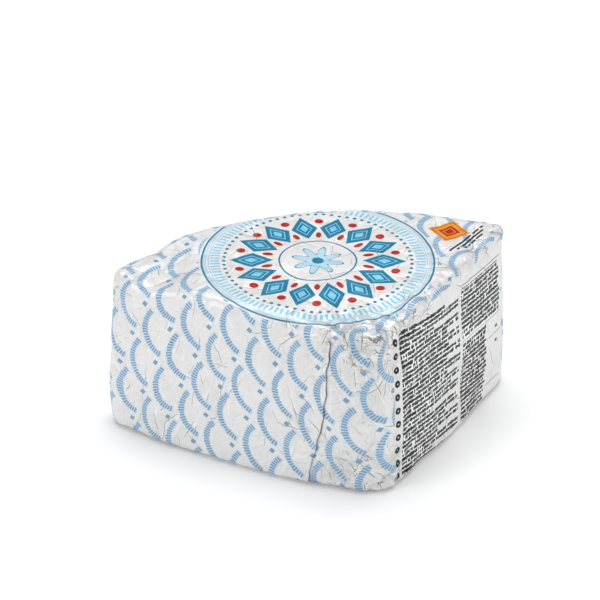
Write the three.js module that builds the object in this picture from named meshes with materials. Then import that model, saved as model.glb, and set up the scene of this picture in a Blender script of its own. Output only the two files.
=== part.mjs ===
import * as THREE from "three";

// A wedge of soft blue cheese, shut in its foil wrapper, in millimetres, +Z up, lying on its flat base.
// In plan it is a quarter of a round cheese. Two cut faces meet at the tip, which points along -Y,
// and the curved rind closes the back. The wrapper and the cheese are one closed body.

// Driving dimensions
const WALL_HEIGHT = 88;
const OPENING_DEG = 96; // angle between the two cut faces
const LEFT_FACE = 151; // tip to left corner, both taken sharp
const RIGHT_FACE = 128.5; // tip to right corner, both taken sharp
const BACK_REACH = 130; // tip to the middle of the rind
const TIP_REACH = 13; // how far from each sharp corner its rounding begins
const LEFT_CORNER_REACH = 13;
const RIGHT_CORNER_REACH = 8;
const TOP_EDGE_RADIUS = 4.5;
const BASE_EDGE_RADIUS = 4.5;
const BASE_FLARE = 4; // the pack has sagged: it is this much wider at the foot than at the top
const BELLY = 1.2; // swelling of the walls at half height
const LEFT_BOW = 4; // swelling of the left cut face at half length
const RIGHT_BOW = 2.4;
const BOW_FULLNESS = 0.5; // below 1, the swelling starts sooner after the corners
const CROWN = 4.5; // rise of the top from the tip to the rind
const SHOULDER_DROP = 4.5; // the slack fold at the left end lies lower than the rest of the top
const SHOULDER_INNER = 26; // it is fully down within this distance of the left corner
const SHOULDER_OUTER = 54;
const SHEET_STEP = 0.9; // the outer sheet stands this proud where it overlaps on the left face
const OVERLAP_HEAD = 24.5; // distance of the overlap's edge from the tip, at the top
const OVERLAP_FOOT = 35.5; // the same at the base
const OVERLAP_CURVE = 2.5;
const EAR_PROUD = 2.2; // small folded ear at the top of the right corner
const EAR_WIDTH = 7;
const EAR_HEIGHT = 9;
const SLACK = 0.45; // soft waves of the sheet
const SLACK_LENGTH = 46;

// Mesh fineness
const FACE_STEPS = 14;
const BEND_STEPS = 7;
const RIND_STEPS = 26;
const EDGE_STEPS = 3;
const WALL_STEPS = 7;
const TOP_RINGS = [0.84, 0.62, 0.38, 0.17];
const BASE_RINGS = [0.55];

const half = THREE.MathUtils.degToRad(OPENING_DEG / 2);
const tip = new THREE.Vector2(0, 0);
const leftWay = new THREE.Vector2(-Math.sin(half), Math.cos(half));
const rightWay = new THREE.Vector2(Math.sin(half), Math.cos(half));
const leftCorner = leftWay.clone().multiplyScalar(LEFT_FACE);
const rightCorner = rightWay.clone().multiplyScalar(RIGHT_FACE);
const heart = new THREE.Vector2(0, BACK_REACH * 0.58); // where the top's and the base's rings close

// The circle of the rind, through both corners and the middle of the back.
function circleThrough(a, b, c) {
  const d = 2 * (a.x * (b.y - c.y) + b.x * (c.y - a.y) + c.x * (a.y - b.y));
  const [aa, bb, cc] = [a.lengthSq(), b.lengthSq(), c.lengthSq()];
  const x = (aa * (b.y - c.y) + bb * (c.y - a.y) + cc * (a.y - b.y)) / d;
  const y = (aa * (c.x - b.x) + bb * (a.x - c.x) + cc * (b.x - a.x)) / d;
  const centre = new THREE.Vector2(x, y);
  return { centre, radius: centre.distanceTo(a) };
}

const rind = circleThrough(rightCorner, new THREE.Vector2(0, BACK_REACH), leftCorner);

function rindPoint(angle) {
  const spoke = new THREE.Vector2(Math.cos(angle), Math.sin(angle));
  return spoke.multiplyScalar(rind.radius).add(rind.centre);
}

function rindAngle(corner) {
  return Math.atan2(corner.y - rind.centre.y, corner.x - rind.centre.x);
}

// Points of a straight run between two places, without the last one.
function straightRun(from, to, steps) {
  const points = [];
  for (let i = 0; i < steps; i += 1) {
    points.push(from.clone().lerp(to, i / steps));
  }
  return points;
}

function bendRun(from, corner, to) {
  const bend = new THREE.QuadraticBezierCurve(from, corner, to);
  return bend.getPoints(BEND_STEPS).slice(0, -1);
}

// Stops on the left face, counted from the tip: two lie close together at the overlap's edge.
function leftFaceStops(near, far) {
  const stops = [];
  for (let i = 0; i <= FACE_STEPS; i += 1) {
    stops.push(THREE.MathUtils.lerp(near, far, i / FACE_STEPS));
  }
  const edge = overlapEdge(WALL_HEIGHT / 2);
  const clear = stops.filter((stop) => Math.abs(stop - edge) > 2);
  return [...clear, edge - 0.35, edge + 0.35].sort((a, b) => b - a);
}

// Distance of the overlap's edge from the tip at a height above the base.
function overlapEdge(height) {
  const down = Math.max(0, 1 - height / WALL_HEIGHT);
  return OVERLAP_HEAD + (OVERLAP_FOOT - OVERLAP_HEAD) * down ** OVERLAP_CURVE;
}

// The plan outline, run round anticlockwise from the tip's right side. Each run keeps its name.
function outline() {
  const tipRight = rightWay.clone().multiplyScalar(TIP_REACH);
  const tipLeft = leftWay.clone().multiplyScalar(TIP_REACH);
  const rightEnd = rightWay.clone().multiplyScalar(RIGHT_FACE - RIGHT_CORNER_REACH);
  const leftEnd = leftWay.clone().multiplyScalar(LEFT_FACE - LEFT_CORNER_REACH);
  const rindStart = rindAngle(rightCorner) + RIGHT_CORNER_REACH / rind.radius;
  const rindEnd = rindAngle(leftCorner) - LEFT_CORNER_REACH / rind.radius;
  const rindRun = [];
  for (let i = 0; i < RIND_STEPS; i += 1) {
    rindRun.push(rindPoint(THREE.MathUtils.lerp(rindStart, rindEnd, i / RIND_STEPS)));
  }
  const leftStops = leftFaceStops(TIP_REACH, LEFT_FACE - LEFT_CORNER_REACH).slice(0, -1);
  const leftRun = leftStops.map((stop) => leftWay.clone().multiplyScalar(stop));
  const runs = [
    ["right", straightRun(tipRight, rightEnd, FACE_STEPS)],
    ["bend", bendRun(rightEnd, rightCorner, rindPoint(rindStart))],
    ["rind", rindRun],
    ["bend", bendRun(rindPoint(rindEnd), leftCorner, leftEnd)],
    ["left", leftRun],
    ["bend", bendRun(tipLeft, tip, tipRight)],
  ];
  return runs.flatMap(([run, points]) => points.map((point) => ({ run, point })));
}

// Each station is a point of the outline with its outward direction.
function stations() {
  const all = outline();
  return all.map(({ run, point }, i) => {
    const before = all[(i + all.length - 1) % all.length].point;
    const after = all[(i + 1) % all.length].point;
    const along = after.clone().sub(before).normalize();
    return { run, point, out: new THREE.Vector2(along.y, -along.x) };
  });
}

// Height of the top over a plan point: it rises to the rind, and sinks at the left end's slack fold.
function topHeight(point) {
  const rise = Math.min(1, point.distanceTo(tip) / BACK_REACH);
  const away = point.distanceTo(leftCorner);
  const full = THREE.MathUtils.smoothstep(away, SHOULDER_INNER, SHOULDER_OUTER);
  return WALL_HEIGHT + CROWN * Math.sin((rise * Math.PI) / 2) - SHOULDER_DROP * (1 - full);
}

// Soft waves of the loose sheet over the cheese.
function slack(point, height) {
  const k = (2 * Math.PI) / SLACK_LENGTH;
  const first = Math.sin(k * point.x + 0.7) * Math.cos(k * 0.8 * height + 0.4);
  const second = Math.sin(k * 1.3 * point.y + 1.9) * Math.sin(k * 1.1 * height + k * 0.5 * point.x);
  return SLACK * (first + second) * 0.5;
}

// A station on the left face slides along it, so that the mesh follows the slanting overlap.
function leaned(station, height) {
  if (station.run !== "left") {
    return station.point.clone();
  }
  const along = station.point.length();
  const near = THREE.MathUtils.smoothstep(along, TIP_REACH, OVERLAP_HEAD - 2);
  const far = 1 - THREE.MathUtils.smoothstep(along, OVERLAP_FOOT, OVERLAP_FOOT * 2);
  const shift = (overlapEdge(height) - overlapEdge(WALL_HEIGHT / 2)) * near * far;
  return station.point.clone().addScaledVector(leftWay, shift);
}

// The outer sheet's step on the left face fades out towards the left corner.
function sheetStep(run, plan, height) {
  const along = plan.length();
  if (run !== "left" || along < overlapEdge(height)) {
    return 0;
  }
  return SHEET_STEP * (1 - along / LEFT_FACE);
}

// The cut faces swell a little between the tip and the back corners.
function bow(run, plan) {
  if (run !== "left" && run !== "right") {
    return 0;
  }
  const end = run === "left" ? LEFT_FACE - LEFT_CORNER_REACH : RIGHT_FACE - RIGHT_CORNER_REACH;
  const part = THREE.MathUtils.clamp((plan.length() - TIP_REACH) / (end - TIP_REACH), 0, 1);
  return (run === "left" ? LEFT_BOW : RIGHT_BOW) * Math.sin(Math.PI * part) ** BOW_FULLNESS;
}

function ear(point, height) {
  const across = point.distanceTo(rightCorner) / EAR_WIDTH;
  const down = (topHeight(point) - height) / EAR_HEIGHT;
  return EAR_PROUD * Math.exp(-across * across - down * down);
}

// A point on the skin: the station moved out by the wall's shape and in by the edge's rounding.
function skinPoint(station, height, inset) {
  const plan = leaned(station, height);
  const up = Math.min(1, height / WALL_HEIGHT);
  const swell = BASE_FLARE * (1 - up) + BELLY * Math.sin(Math.PI * up) + bow(station.run, plan);
  const relief = slack(plan, height) + sheetStep(station.run, plan, height) + ear(plan, height);
  plan.addScaledVector(station.out, swell + relief - inset);
  return new THREE.Vector3(plan.x, plan.y, height);
}

// The rings of the wall, from the flat of the base to the flat of the top.
function wallRings(all) {
  const rings = [];
  for (let i = 0; i <= EDGE_STEPS; i += 1) {
    const turn = (i / EDGE_STEPS) * (Math.PI / 2);
    const height = BASE_EDGE_RADIUS * (1 - Math.cos(turn));
    const inset = BASE_EDGE_RADIUS * (1 - Math.sin(turn));
    rings.push(all.map((station) => skinPoint(station, height, inset)));
  }
  for (let i = 1; i < WALL_STEPS; i += 1) {
    rings.push(
      all.map((station) => {
        const wallTop = topHeight(station.point) - TOP_EDGE_RADIUS;
        const height = THREE.MathUtils.lerp(BASE_EDGE_RADIUS, wallTop, i / WALL_STEPS);
        return skinPoint(station, height, 0);
      }),
    );
  }
  for (let i = 0; i <= EDGE_STEPS; i += 1) {
    const turn = (i / EDGE_STEPS) * (Math.PI / 2);
    const drop = TOP_EDGE_RADIUS * (1 - Math.sin(turn));
    const inset = TOP_EDGE_RADIUS * (1 - Math.cos(turn));
    rings.push(all.map((station) => skinPoint(station, topHeight(station.point) - drop, inset)));
  }
  return rings;
}

// Rings that shrink a closed ring towards the heart of the wedge, at a height of their own.
function shrunkRings(ring, scales, heightOf) {
  return scales.map((scale) =>
    ring.map((corner) => {
      const plan = heart.clone().lerp(new THREE.Vector2(corner.x, corner.y), scale);
      return new THREE.Vector3(plan.x, plan.y, heightOf(plan));
    }),
  );
}

// Joins the rings, and closes the first and the last one at a middle point.
function closedSkin(rings, bottom, top) {
  const around = rings[0].length;
  const positions = [...rings.flat(), bottom, top].flatMap((v) => [v.x, v.y, v.z]);
  const bottomIndex = rings.length * around;
  const topIndex = bottomIndex + 1;
  const lastStart = (rings.length - 1) * around;
  const faces = [];
  for (let i = 0; i < around; i += 1) {
    const next = (i + 1) % around;
    faces.push(bottomIndex, next, i);
    faces.push(topIndex, lastStart + i, lastStart + next);
    for (let k = 0; k < rings.length - 1; k += 1) {
      const low = k * around;
      const high = low + around;
      faces.push(low + i, low + next, high + next);
      faces.push(low + i, high + next, high + i);
    }
  }
  const geometry = new THREE.BufferGeometry();
  geometry.setAttribute("position", new THREE.Float32BufferAttribute(positions, 3));
  geometry.setIndex(faces);
  return geometry;
}

function wedgeGeometry() {
  const walls = wallRings(stations());
  const reversedBase = [...BASE_RINGS].reverse();
  const base = shrunkRings(walls[0], reversedBase, () => 0);
  const top = shrunkRings(walls[walls.length - 1], TOP_RINGS, topHeight);
  const bottomMiddle = new THREE.Vector3(heart.x, heart.y, 0);
  const topMiddle = new THREE.Vector3(heart.x, heart.y, topHeight(heart));
  const geometry = closedSkin([...base, ...walls, ...top], bottomMiddle, topMiddle);
  geometry.computeBoundingBox();
  const middle = geometry.boundingBox.getCenter(new THREE.Vector3());
  geometry.translate(-middle.x, -middle.y, 0);
  geometry.computeVertexNormals();
  return geometry;
}

const foil = new THREE.MeshStandardMaterial({
  color: 0xdfe3e8,
  roughness: 0.42,
  metalness: 0.35,
});

const wedge = new THREE.Mesh(wedgeGeometry(), foil);
wedge.name = "wrapped_wedge";

const part = new THREE.Group();
part.add(wedge);

export default part;
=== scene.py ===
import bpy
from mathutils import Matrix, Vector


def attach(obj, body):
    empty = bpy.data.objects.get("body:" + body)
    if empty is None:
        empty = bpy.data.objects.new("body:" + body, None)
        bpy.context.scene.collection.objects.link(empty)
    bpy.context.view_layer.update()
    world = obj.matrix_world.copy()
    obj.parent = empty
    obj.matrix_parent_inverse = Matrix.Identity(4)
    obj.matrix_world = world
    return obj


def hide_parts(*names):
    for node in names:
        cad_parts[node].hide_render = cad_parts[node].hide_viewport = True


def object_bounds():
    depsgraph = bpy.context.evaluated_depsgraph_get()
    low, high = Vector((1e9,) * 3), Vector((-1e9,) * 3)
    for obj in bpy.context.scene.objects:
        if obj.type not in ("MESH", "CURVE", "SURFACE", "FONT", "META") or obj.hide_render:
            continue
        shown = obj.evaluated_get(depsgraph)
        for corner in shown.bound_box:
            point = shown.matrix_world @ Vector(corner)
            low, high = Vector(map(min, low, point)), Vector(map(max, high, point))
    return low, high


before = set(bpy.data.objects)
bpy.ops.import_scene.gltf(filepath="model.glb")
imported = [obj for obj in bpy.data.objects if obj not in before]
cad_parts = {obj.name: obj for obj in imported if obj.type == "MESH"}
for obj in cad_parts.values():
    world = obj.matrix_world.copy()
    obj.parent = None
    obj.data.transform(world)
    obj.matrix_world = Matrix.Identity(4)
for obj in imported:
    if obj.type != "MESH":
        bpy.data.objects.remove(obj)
CAD_BOX = [list(corner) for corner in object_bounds()]

import math

import bpy
import numpy as np
from mathutils import Vector
from mathutils.geometry import delaunay_2d_cdt

# A wedge of soft blue cheese shut in a printed foil wrapper, whose skin replaces the plain solid.
# Lengths are in millimetres until a mesh is made. The plan has its origin under the sharp tip,
# and its +Y runs from the tip to the middle of the rind.
MM = 0.001
# The frame's origin is the middle of the solid's box, and this is the sharp tip's place from there
TIP_IN_FRAME = np.array([7.4296, -67.6444])

# Shape of the pack, the same as the solid's
WALL_HEIGHT = 88.0
HALF_OPENING = math.radians(48.0)
LEFT_FACE = 151.0
RIGHT_FACE = 128.5
BACK_REACH = 130.0
TIP_REACH = 13.0
LEFT_CORNER_REACH = 13.0
RIGHT_CORNER_REACH = 8.0
TOP_EDGE = 4.5
BASE_EDGE = 4.5
BASE_FLARE = 4.0
BELLY = 1.2
LEFT_BOW = 4.0
RIGHT_BOW = 2.4
BOW_FULLNESS = 0.5
CROWN = 4.5
SHOULDER_DROP = 4.5
SHOULDER_INNER = 26.0
SHOULDER_OUTER = 54.0
OVERLAP_HEAD = 24.5
OVERLAP_FOOT = 35.5
OVERLAP_CURVE = 2.5
EAR_PROUD = 2.2
EAR_WIDTH = 7.0
EAR_HEIGHT = 9.0
SLACK = 0.45
SLACK_LENGTH = 46.0

# Fineness of the plan curve, in points, and of the skin
FACE_POINTS = 400
RIND_POINTS = 600
CORNER_POINTS = 60
COLUMN_PITCH = 1.0
WALL_RINGS = 88
EDGE_STEPS = 6
TOP_PITCH = 1.05
BASE_PITCH = 2.2

LEFT_WAY = np.array([-math.sin(HALF_OPENING), math.cos(HALF_OPENING)])
RIGHT_WAY = np.array([math.sin(HALF_OPENING), math.cos(HALF_OPENING)])
LEFT_OUT = np.array([-math.cos(HALF_OPENING), -math.sin(HALF_OPENING)])
RIGHT_OUT = np.array([math.cos(HALF_OPENING), -math.sin(HALF_OPENING)])
LEFT_CORNER = LEFT_WAY * LEFT_FACE
RIGHT_CORNER = RIGHT_WAY * RIGHT_FACE

# The print's axes on the unfolded sheet, and the middle of its roundel, in plan
PRINT_TURN = math.radians(149.9)
PRINT_UP = np.array([math.cos(PRINT_TURN), math.sin(PRINT_TURN)])
PRINT_RIGHT = np.array([PRINT_UP[1], -PRINT_UP[0]])
ROUNDEL_MIDDLE = np.array([-7.3, 78.3])
NOWHERE = -1000.0

# Flaps on the base: how far the left one and the right one reach in from their edges, how much higher
# each lies than the last, and half the width of the step between them
LEFT_FLAP = 58.0
RIGHT_FLAP = 49.0
FLAP_LIFT = 0.45
FLAP_EDGE = 0.12


def smoothstep(x, low, high):
    t = np.clip((x - low) / (high - low), 0.0, 1.0)
    return t * t * (3.0 - 2.0 * t)


# Plan of the pack

def rind_circle():
    """Centre and radius of the circle through both back corners and the middle of the rind."""
    a, b, c = RIGHT_CORNER, np.array([0.0, BACK_REACH]), LEFT_CORNER
    sides = np.array([b - a, c - a])
    centre = np.linalg.solve(sides, 0.5 * np.array([b @ b - a @ a, c @ c - a @ a]))
    return centre, float(np.linalg.norm(a - centre))


def bend(start, corner, end, count):
    """A rounded corner, as a curve that leaves and meets its two sides smoothly."""
    t = np.linspace(0.0, 1.0, count, endpoint=False)[:, None]
    return (1 - t) ** 2 * start + 2 * t * (1 - t) * corner + t ** 2 * end


def outline():
    """The closed plan curve, anticlockwise from the start of the right face, and where its runs end."""
    centre, radius = rind_circle()

    def angle_of(corner):
        return math.atan2(corner[1] - centre[1], corner[0] - centre[0])

    def on_rind(angles):
        return centre + radius * np.stack([np.cos(angles), np.sin(angles)], axis=-1)

    def straight(start, end):
        return start + (end - start) * np.linspace(0.0, 1.0, FACE_POINTS, endpoint=False)[:, None]

    first = angle_of(RIGHT_CORNER) + RIGHT_CORNER_REACH / radius
    last = angle_of(LEFT_CORNER) - LEFT_CORNER_REACH / radius
    right_end = RIGHT_WAY * (RIGHT_FACE - RIGHT_CORNER_REACH)
    left_end = LEFT_WAY * (LEFT_FACE - LEFT_CORNER_REACH)
    runs = {
        "right": straight(RIGHT_WAY * TIP_REACH, right_end),
        "right bend": bend(right_end, RIGHT_CORNER, on_rind(first), CORNER_POINTS),
        "rind": on_rind(np.linspace(first, last, RIND_POINTS, endpoint=False)),
        "left bend": bend(on_rind(last), LEFT_CORNER, left_end, CORNER_POINTS),
        "left": straight(left_end, LEFT_WAY * TIP_REACH),
        "tip bend": bend(LEFT_WAY * TIP_REACH, np.zeros(2), RIGHT_WAY * TIP_REACH, CORNER_POINTS),
    }
    points = np.concatenate(list(runs.values()))
    points = np.vstack([points, points[:1]])
    steps = np.linalg.norm(np.diff(points, axis=0), axis=1)
    along = np.concatenate([[0.0], np.cumsum(steps)])
    ends = np.cumsum([len(run) for run in runs.values()])
    return points, along, {name: float(along[end]) for name, end in zip(runs, ends)}


POINTS, ALONG, END = outline()
AROUND = END["tip bend"]


def outward_ways():
    """The way out of the pack at every point of the outline."""
    step = np.roll(POINTS[:-1], -1, axis=0) - np.roll(POINTS[:-1], 1, axis=0)
    step /= np.linalg.norm(step, axis=1)[:, None]
    out = np.stack([step[:, 1], -step[:, 0]], axis=1)
    return np.vstack([out, out[:1]])


OUT = outward_ways()


def round_the_pack(table, s):
    """Rows of a table of the outline at distances s, which may run past its seam."""
    s = np.mod(s, AROUND)
    return np.stack([np.interp(s, ALONG, table[:, k]) for k in range(2)], axis=-1)


def left_distance(s):
    """Distance from the sharp tip along the left face. It runs on past both ends of the face."""
    return TIP_REACH + END["left"] - s


def bow(s):
    """Swelling of the two cut faces between their rounded ends."""
    s = np.mod(s, AROUND)

    def swell(start, end, size):
        part = np.clip((s - start) / (end - start), 0.0, 1.0)
        return size * np.sin(math.pi * part) ** BOW_FULLNESS

    return swell(0.0, END["right"], RIGHT_BOW) + swell(END["left bend"], END["left"], LEFT_BOW)


def top_height(plan):
    """Height of the top: crowned towards the rind, and sunk at the left corner."""
    rise = np.minimum(1.0, np.linalg.norm(plan, axis=-1) / BACK_REACH)
    away = np.linalg.norm(plan - LEFT_CORNER, axis=-1)
    sunk = 1.0 - smoothstep(away, SHOULDER_INNER, SHOULDER_OUTER)
    return WALL_HEIGHT + CROWN * np.sin(rise * math.pi / 2) - SHOULDER_DROP * sunk


def slack(plan, height):
    """The sheet's slack over the cheese: two crossed waves, a little out of step, as on the solid."""
    k = 2 * math.pi / SLACK_LENGTH
    x, y = plan[..., 0], plan[..., 1]
    first = np.sin(k * x + 0.7) * np.cos(0.8 * k * height + 0.4)
    second = np.sin(1.3 * k * y + 1.9) * np.sin(1.1 * k * height + 0.5 * k * x)
    return SLACK * (first + second) * 0.5


def ear(plan, height):
    """The folded ear that stands proud at the top of the right corner."""
    across = np.linalg.norm(plan - RIGHT_CORNER, axis=-1) / EAR_WIDTH
    down = (top_height(plan) - height) / EAR_HEIGHT
    return EAR_PROUD * np.exp(-across ** 2 - down ** 2)


# Laps, where one edge of the sheet lies over the next one

# Small bends in the edge of the left face's lap: size, pace along the height, and start
WAVER = ((0.30, 2.9, 0.6), (0.22, 1.6, 0.0), (0.35, 7.0, 2.0))
# Shares of a lap's lift: the layer that turns back under it, the turn itself, and the share below which a
# layer counts as tucked in
TURNED_BACK_SHARE = 0.64
TURN_SHARE = 0.3
TUCKED_SHARE = 0.66
# How far the turn lies past the stretch that goes under, columns in each layer, and how far plain columns,
# and the lap's own ones when flat, lie from its ends
TURN_WIDTH = 0.25
LAP_COLUMNS = 5
LAP_CLEARANCE = 0.8
FLAT_MARGIN = 0.3
# Height at which the straight laps lean neither way
LEAN_MIDDLE = 40.0
# Heights below the top, and above the base, over which a lap runs out
LAP_HEAD = (1.5, 8.0)
LAP_FOOT = (0.2, 1.8)
FOOT_GAPE_HEIGHT = 9.0


def overlap_edge(height):
    """Distance from the sharp tip to the edge of the left face's lap."""
    down = np.clip(1.0 - height / WALL_HEIGHT, 0.0, 1.0)
    return OVERLAP_HEAD + (OVERLAP_FOOT - OVERLAP_HEAD) * down ** OVERLAP_CURVE


def waver(height):
    return sum(size * np.sin(height / pace + start) for size, pace, start in WAVER)


class Lap:
    """The outer sheet comes from one side and ends at the lap. The sheet under it goes on beneath.

    Distances d are measured from the lap's edge towards the outer sheet's side. The lap goes under for
    a stretch, its lift fades out over another, and it draws the columns within its reach along its slant.
    """

    def __init__(self, at, outer_side, under, lift, fade, reach, slant, foot_gape):
        self.at = at
        self.outer_side = outer_side
        self.under = under
        self.lift = lift
        self.fade = fade
        self.reach = reach
        self.slant = slant
        self.foot_gape = foot_gape

    def columns(self):
        """Each column as its distance when folded, its distance when flat, and its share of the lift."""
        d = np.linspace(0.0, self.under, LAP_COLUMNS)
        outer = [(x, 1.0 - x / self.fade) for x in d[::-1]]
        back = [(x, TURNED_BACK_SHARE - x / self.fade) for x in d]
        turn = [(self.under + TURN_WIDTH, TURN_SHARE)]
        inner = [(x, 0.0) for x in d[::-1]]
        path = outer + back + turn + inner
        if self.outer_side > 0:
            path = path[::-1]
        low, high = sorted((self.at, self.at + self.outer_side * self.under))
        flat = np.linspace(low - FLAT_MARGIN, high + FLAT_MARGIN, len(path))
        return [(self.at + self.outer_side * x, s, share) for (x, share), s in zip(path, flat)]

    def covers(self, s):
        """Where the lap's own columns take the place of plain ones."""
        d = (s - self.at) * self.outer_side
        return (d > -LAP_CLEARANCE) & (d < self.under + LAP_CLEARANCE)

    def share(self, s):
        """Share of the lift on the plain columns of the outer sheet, which runs out behind the lap."""
        d = (s - self.at) * self.outer_side
        return np.where(d > 0.0, np.clip(1.0 - d / self.fade, 0.0, 1.0), 0.0)

    def shift(self, s, height):
        """How far columns slide round the pack, so that they follow the lap's slanting edge."""
        d = (s - self.at) * self.outer_side
        near = 1.0 - smoothstep(np.where(d > 0, d / self.reach[0], -d / self.reach[1]), 0.0, 1.0)
        return near * self.slant(height)

    def folded(self, height, top):
        """One where the sheet is folded, running out at the top edge and at the base."""
        return smoothstep(top - height, *LAP_HEAD) * smoothstep(height, *LAP_FOOT)

    def thickness(self, height, top):
        """How far the lap stands out. It gapes at its foot."""
        gape = 1.0 + self.foot_gape * np.clip(1.0 - height / FOOT_GAPE_HEIGHT, 0.0, 1.0) ** 2
        return self.lift * gape * self.folded(height, top)


def left_lap():
    """The big lap near the tip, on the left face. Its edge curves and wavers."""
    middle = float(overlap_edge(WALL_HEIGHT / 2))
    return Lap(
        at=END["left"] + TIP_REACH - middle, outer_side=-1, under=3.2, lift=0.85, fade=110.0,
        reach=(30.0, 11.0), slant=lambda h: middle - overlap_edge(h) + waver(h), foot_gape=2.6)


def rind_lap():
    """The upright lap near the middle of the rind."""
    return Lap(
        at=0.5 * (END["right bend"] + END["rind"]) + 20.0, outer_side=1, under=3.4, lift=0.9, fade=26.0,
        reach=(25.0, 20.0), slant=lambda h: 0.10 * (h - LEAN_MIDDLE), foot_gape=0.5)


def corner_laps():
    """A smaller lap on the rind, beside each corner."""
    return [
        Lap(
            at=END["right bend"] + 10.0, outer_side=-1, under=2.6, lift=0.7, fade=14.0,
            reach=(8.0, 9.0), slant=lambda h: 0.04 * (h - LEAN_MIDDLE), foot_gape=0.4),
        Lap(
            at=END["rind"] - 14.0, outer_side=1, under=2.8, lift=0.75, fade=14.0,
            reach=(9.0, 12.0), slant=lambda h: -0.06 * (h - LEAN_MIDDLE), foot_gape=0.4),
    ]


LAPS = [left_lap(), rind_lap(), *corner_laps()]


def skin_columns():
    """Columns round the pack: distance when folded and when flat, share of a lift, and whose lap."""
    plain = np.arange(0.0, AROUND - 0.5 * COLUMN_PITCH, COLUMN_PITCH)
    plain = plain[~np.any([lap.covers(plain) for lap in LAPS], axis=0)]
    rows = [(s, s, 0.0, -1) for s in plain]
    for i, lap in enumerate(LAPS):
        rows += [(s, flat, share, i) for s, flat, share in lap.columns()]
    return np.array(sorted(rows, key=lambda row: row[1]))


def ring_profile(top):
    """Height, inset and tilt of every ring, from the base's flat to the top's flat."""
    rings = []
    for turn in np.linspace(0.0, math.pi / 2, EDGE_STEPS + 1):
        height = np.full_like(top, BASE_EDGE * (1 - math.cos(turn)))
        rings.append((height, BASE_EDGE * (1 - math.sin(turn)), turn - math.pi / 2))
    for part in np.linspace(0.0, 1.0, WALL_RINGS + 1)[1:-1]:
        rings.append((BASE_EDGE + (top - TOP_EDGE - BASE_EDGE) * part, 0.0, 0.0))
    for turn in np.linspace(0.0, math.pi / 2, EDGE_STEPS + 1):
        height = top - TOP_EDGE * (1 - math.sin(turn))
        rings.append((height, TOP_EDGE * (1 - math.cos(turn)), turn))
    return rings


# Creases and crumples

class Waves:
    """Smooth noise made of plane waves in space, drawn once from a seed."""

    def __init__(self, seed, count, shortest, longest):
        rng = np.random.default_rng(seed)
        ways = rng.normal(size=(count, 3))
        ways /= np.linalg.norm(ways, axis=1)[:, None]
        lengths = np.exp(rng.uniform(math.log(shortest), math.log(longest), count))
        self.k = ways * (2 * math.pi / lengths)[:, None]
        self.phase = rng.uniform(0, 2 * math.pi, count)
        self.gain = 1.0 / math.sqrt(count / 2)

    def __call__(self, points):
        return np.sin(points @ self.k.T + self.phase).sum(axis=1) * self.gain


PLAIN_CRUMPLE = 0.6
CRUMPLE_RANGE = (0.12, 2.4)


def nearness(*gaps):
    """One at a place, and less away from it. Each gap is a distance from it and how far that counts."""
    return np.exp(-sum((away / reach) ** 2 for away, reach in gaps))


def crumple_strength(points):
    """How crumpled the sheet is: most at the tip's top, then at the tip's foot, edges and ends."""
    plan, height = points[:, :2], points[:, 2]
    from_tip = np.linalg.norm(plan, axis=1)
    from_top = top_height(plan) - height
    from_left_corner = np.linalg.norm(plan - LEFT_CORNER, axis=1)
    from_roundel = np.linalg.norm(plan - ROUNDEL_MIDDLE, axis=1)
    off_right = np.abs(plan @ RIGHT_OUT)
    tip = 1.2 * nearness((from_tip, 30.0), (from_top, 20.0))
    foot = 1.15 * nearness((from_tip, 34.0), (height, 24.0))
    front = 0.25 * nearness((from_tip, 30.0))
    edge = 0.55 * nearness((off_right, 8.0), (from_top, 6.0))
    end = 0.25 * nearness((from_left_corner, 34.0))
    taut = 0.6 * nearness((off_right, 7.0)) * smoothstep(from_top, 5.0, 12.0)
    taut *= smoothstep(from_tip, 20.0, 34.0)
    middle = 0.25 * nearness((from_roundel, 50.0))
    return np.clip(PLAIN_CRUMPLE + tip + foot + front + edge + end - taut - middle, *CRUMPLE_RANGE)


# Creases in each zone: how many, and the ranges of length, depth and width; then their usual lean from
# upright, in radians, and its spread
CREASE_GROUPS = {
    "left": (200, (6, 30), (0.08, 0.30), (0.5, 2.0), 0.4, 0.6),
    "right": (70, (6, 20), (0.03, 0.12), (0.7, 2.4), 0.0, 1.4),
    "rind": (230, (7, 30), (0.10, 0.32), (0.5, 2.2), 0.1, 0.6),
    "top": (130, (8, 36), (0.06, 0.18), (0.6, 2.6), 0.0, 1.6),
    "top edge": (200, (4, 12), (0.06, 0.24), (0.5, 1.4), 0.0, 0.7),
    "tip": (150, (3, 14), (0.10, 0.32), (0.5, 1.3), 0.0, 1.6),
    "foot": (90, (4, 16), (0.12, 0.40), (0.5, 1.4), 0.2, 0.9),
    "end": (80, (6, 26), (0.12, 0.38), (0.6, 2.0), 0.0, 0.35),
    "base edge": (170, (4, 12), (0.08, 0.28), (0.5, 1.6), 0.0, 0.6),
    "base": (80, (8, 40), (0.10, 0.30), (0.8, 2.6), 0.0, 1.6),
}
CREASE_SEED = 71
# A crease's line sways by this much at most, at one of these paces, from a start within about a turn
CREASE_SWAY = 0.4
CREASE_PACES = (0.15, 0.4)
STARTS = 6.3
# How far from its line a crease is still reckoned
CREASE_SIDES = 5.0


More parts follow.
